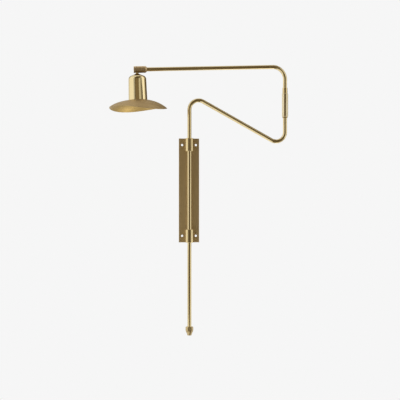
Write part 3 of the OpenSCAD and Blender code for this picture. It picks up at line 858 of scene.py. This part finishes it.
def make_world():
    """Even light from all round, and the plain background for all that sees or mirrors it."""
    world = bpy.data.worlds.new("studio")
    bpy.context.scene.world = world
    world.use_nodes = True
    tree = world.node_tree
    tree.nodes.clear()
    rays = tree.nodes.new("ShaderNodeLightPath")
    seen = maths(tree, "MAXIMUM", rays.outputs["Is Camera Ray"], rays.outputs["Is Glossy Ray"])
    either = maths(tree, "MAXIMUM", seen, rays.outputs["Is Transmission Ray"])
    light = tree.nodes.new("ShaderNodeBackground")
    light.inputs["Color"].default_value = (1, 1, 1, 1)
    light.inputs["Strength"].default_value = AMBIENT
    backdrop = tree.nodes.new("ShaderNodeBackground")
    backdrop.inputs["Color"].default_value = (BACKGROUND, BACKGROUND, BACKGROUND, 1)
    backdrop.inputs["Strength"].default_value = 1.0
    mix = tree.nodes.new("ShaderNodeMixShader")
    tree.links.new(either, mix.inputs["Fac"])
    tree.links.new(light.outputs[0], mix.inputs[1])
    tree.links.new(backdrop.outputs[0], mix.inputs[2])
    out = tree.nodes.new("ShaderNodeOutputWorld")
    tree.links.new(mix.outputs[0], out.inputs["Surface"])


def make_camera():
    """A level camera far in front, with a long lens."""
    data = bpy.data.cameras.new("camera")
    data.lens = LENS
    data.sensor_width = SENSOR
    data.clip_end = CLIP_END
    camera = bpy.data.objects.new("camera", data)
    bpy.context.scene.collection.objects.link(camera)
    back = Vector((math.sin(VIEW_AZIMUTH), -math.cos(VIEW_AZIMUTH), 0))
    aim = Vector((AIM_X, mast_y, VIEW_HEIGHT))
    camera.location = aim + back * VIEW_DISTANCE
    camera.rotation_mode = "QUATERNION"
    camera.rotation_quaternion = (-back).to_track_quat("-Z", "Y")
    bpy.context.scene.camera = camera


# Reflected studio: soft boxes and dark flags that are seen only in reflections. They give the brass
# its light and dark bands. Angles are azimuths in degrees, 0 in front of the wall and 90 to the right.

WALL_R = 3.6
CEILING_Z = 4.2
# Heights at which the screens change
HIGH_SPLIT_Z = 1.1
FRONT_LOW_Z = 0.3
LOW_SPLIT_Z = -0.3
FOOT_SPLIT_Z = -0.8
# The cores stand a little inside the other screens, and the small flags stand near the lamp
INNER_R = WALL_R - 0.1
FLAG_Y = -0.3
# Three layers of patches lie just above the floor
LAYER_1 = FLOOR_Z + 0.01
LAYER_2 = FLOOR_Z + 0.02
LAYER_3 = FLOOR_Z + 0.03
SCREEN_STEPS = 24
LEVEL_STEPS = 32
DISC_SIDES = 32

WHITE = (1, 1, 1)
SOFT_WHITE = (1, 0.99, 0.95)
CEILING_WHITE = (1, 0.98, 0.93)
CREAM = (1, 0.98, 0.9)
PALE_FLAG = (1, 0.97, 0.88)
SKIRT_CREAM = (1, 0.95, 0.82)
DOT_GOLD = (1, 0.9, 0.7)
GLAND_GOLD = (1, 0.84, 0.56)
WARM_DARK = (1.0, 0.78, 0.48)

# Upright screens: name, from and to angle, lower and upper edge, colour, strength, radius
SCREENS = [
    ("wing_left", -160, -120, FLOOR_Z, HIGH_SPLIT_Z, WHITE, 0.74, WALL_R),
    ("wing_left_high", -160, -120, HIGH_SPLIT_Z, CEILING_Z, WHITE, 0.5, WALL_R),
    ("softbox_left", -120, -54, LOW_SPLIT_Z, CEILING_Z, WHITE, 1.0, WALL_R),
    ("softbox_left_low", -120, -78, FLOOR_Z, LOW_SPLIT_Z, WHITE, 1.0, WALL_R),
    ("skirt_left", -78, -38, FOOT_SPLIT_Z, LOW_SPLIT_Z, SKIRT_CREAM, 0.42, WALL_R),
    ("skirt_foot", -78, -38, FLOOR_Z, FOOT_SPLIT_Z, WHITE, 1.0, WALL_R),
    ("edge_left", -54, -38, LOW_SPLIT_Z, CEILING_Z, WHITE, 0.52, WALL_R),
    ("flag_front_left", -38, -12, FOOT_SPLIT_Z, CEILING_Z, WARM_DARK, 0.1, WALL_R),
    ("glow_foot", -38, -12, FLOOR_Z, FOOT_SPLIT_Z, WHITE, 1.1, WALL_R),
    ("flag_front", -12, 12, FLOOR_Z, CEILING_Z, WARM_DARK, 0.1, WALL_R),
    ("core_cup", -32, 14, 0.45, 0.95, WARM_DARK, 0.23, INNER_R),
    ("core_gland", -12, 31, FLOOR_Z, -0.76, GLAND_GOLD, 0.22, INNER_R),
    ("fill_front", 12, 31, FRONT_LOW_Z, HIGH_SPLIT_Z, CREAM, 0.68, WALL_R),
    ("flag_front_high", 12, 31, HIGH_SPLIT_Z, CEILING_Z, WARM_DARK, 0.15, WALL_R),
    ("flag_front_low", 12, 31, FLOOR_Z, FRONT_LOW_Z, WARM_DARK, 0.1, WALL_R),
    ("flag_slim", 31, 54, FLOOR_Z, CEILING_Z, PALE_FLAG, 0.4, WALL_R),
    ("edge_right", 54, 62, FLOOR_Z, CEILING_Z, WHITE, 0.7, WALL_R),
    ("softbox_right", 62, 96, FLOOR_Z, CEILING_Z, WHITE, 1.15, WALL_R),
    ("wing_right", 96, 106, FLOOR_Z, CEILING_Z, WHITE, 0.6, WALL_R),
    ("flag_right", 106, 170, LOW_SPLIT_Z, HIGH_SPLIT_Z, WARM_DARK, 0.14, WALL_R),
    ("wing_right_low", 106, 170, FLOOR_Z, LOW_SPLIT_Z, WHITE, 0.75, WALL_R),
    ("wing_right_high", 106, 120, HIGH_SPLIT_Z, CEILING_Z, WHITE, 0.45, WALL_R),
    ("flag_back_high", 120, 166, HIGH_SPLIT_Z, CEILING_Z, WARM_DARK, 0.12, WALL_R),
    ("wing_back_high", 166, 200, HIGH_SPLIT_Z, CEILING_Z, WHITE, 0.6, WALL_R),
]

# Flat ring sectors above and below: name, from and to angle, inner and outer radius, height,
# colour, strength
LEVELS = [
    ("flag_high", -30, 80, 0.9, WALL_R, CEILING_Z, WARM_DARK, 0.16),
    ("softbox_high", 80, 330, 0, WALL_R, CEILING_Z, CEILING_WHITE, 0.74),
    ("flag_low", -8, 70, 0.1, INNER_R, LAYER_2, WARM_DARK, 0.14),
    ("glow_front", -80, -14, 0.5, INNER_R, LAYER_2, WHITE, 0.9),
    ("glow_low", 70, 336, 0.9, 1.6, LAYER_1, SOFT_WHITE, 0.95),
    ("glow_side", 70, 336, 1.6, INNER_R, LAYER_1, SOFT_WHITE, 0.6),
]

# Round patches on the floor: name, x, y, radius, colour, strength
DISCS = [
    ("spot_low", 0.58, 0.56, 0.3, SOFT_WHITE, 2.4),
    ("spot_side", -0.5, 0.85, 0.3, SOFT_WHITE, 1.4),
    ("dot_low", 0.0, 0.5, 0.2, DOT_GOLD, 0.5),
]

# Small flags in front of the elbow: name, left and right edge, lower and upper edge, colour, strength
PANELS = [
    ("flag_elbow", 0.15, 0.37, 0.04, 0.265, WARM_DARK, 0.12),
    ("flag_riser", 0.37, 0.43, 0.04, 0.18, WARM_DARK, 0.12),
    ("flag_rise", 0.15, 0.43, 0.265, 0.36, WARM_DARK, 0.12),
]


def glow(name, colour, strength):
    """A material that only sends out light."""
    material = bpy.data.materials.new(name)
    material.use_nodes = True
    tree = material.node_tree
    tree.nodes.clear()
    light = tree.nodes.new("ShaderNodeEmission")
    light.inputs["Color"].default_value = (*colour, 1)
    light.inputs["Strength"].default_value = strength
    out = tree.nodes.new("ShaderNodeOutputMaterial")
    tree.links.new(light.outputs["Emission"], out.inputs["Surface"])
    return material


def reflected(name, points, faces, colour, strength):
    """A glowing piece that only reflections see: it lights nothing and casts no shadow."""
    piece = stage_mesh(name, points, faces, glow(name, colour, strength))
    piece.visible_camera = False
    piece.visible_shadow = False
    piece.visible_diffuse = False


def strip(name, from_deg, to_deg, rims, steps, colour, strength):
    """A curved strip round the lamp between two rims, each a radius and a height."""
    points = []
    for k in range(steps + 1):
        a = math.radians(from_deg + (to_deg - from_deg) * k / steps)
        points += [(radius * math.sin(a), -radius * math.cos(a), height) for radius, height in rims]
    faces = [(2 * k, 2 * k + 2, 2 * k + 3, 2 * k + 1) for k in range(steps)]
    reflected(name, points, faces, colour, strength)


def make_reflections():
    """All the screens, ring sectors, patches and small flags."""
    for name, from_deg, to_deg, low, high, colour, strength, radius in SCREENS:
        rims = [(radius, low), (radius, high)]
        strip(name, from_deg, to_deg, rims, SCREEN_STEPS, colour, strength)
    for name, from_deg, to_deg, inner, outer, height, colour, strength in LEVELS:
        rims = [(inner, height), (outer, height)]
        strip(name, from_deg, to_deg, rims, LEVEL_STEPS, colour, strength)
    for name, x, y, radius, colour, strength in DISCS:
        points = circle_points(x, y, radius, LAYER_3, DISC_SIDES)
        reflected(name, points, [tuple(range(DISC_SIDES))], colour, strength)
    for name, left, right, low, high, colour, strength in PANELS:
        points = [(x, FLAG_Y, z) for x, z in ((left, low), (right, low), (right, high), (left, high))]
        reflected(name, points, [(0, 1, 2, 3)], colour, strength)


# The lamp in its studio

dress_nodes()
make_mast()
make_upper_arm()
make_cup()
make_shade()
make_thread()
make_screws()
make_world()
make_floor()
make_reflections()
make_camera()

view = bpy.context.scene.view_settings
view.view_transform = "Standard"
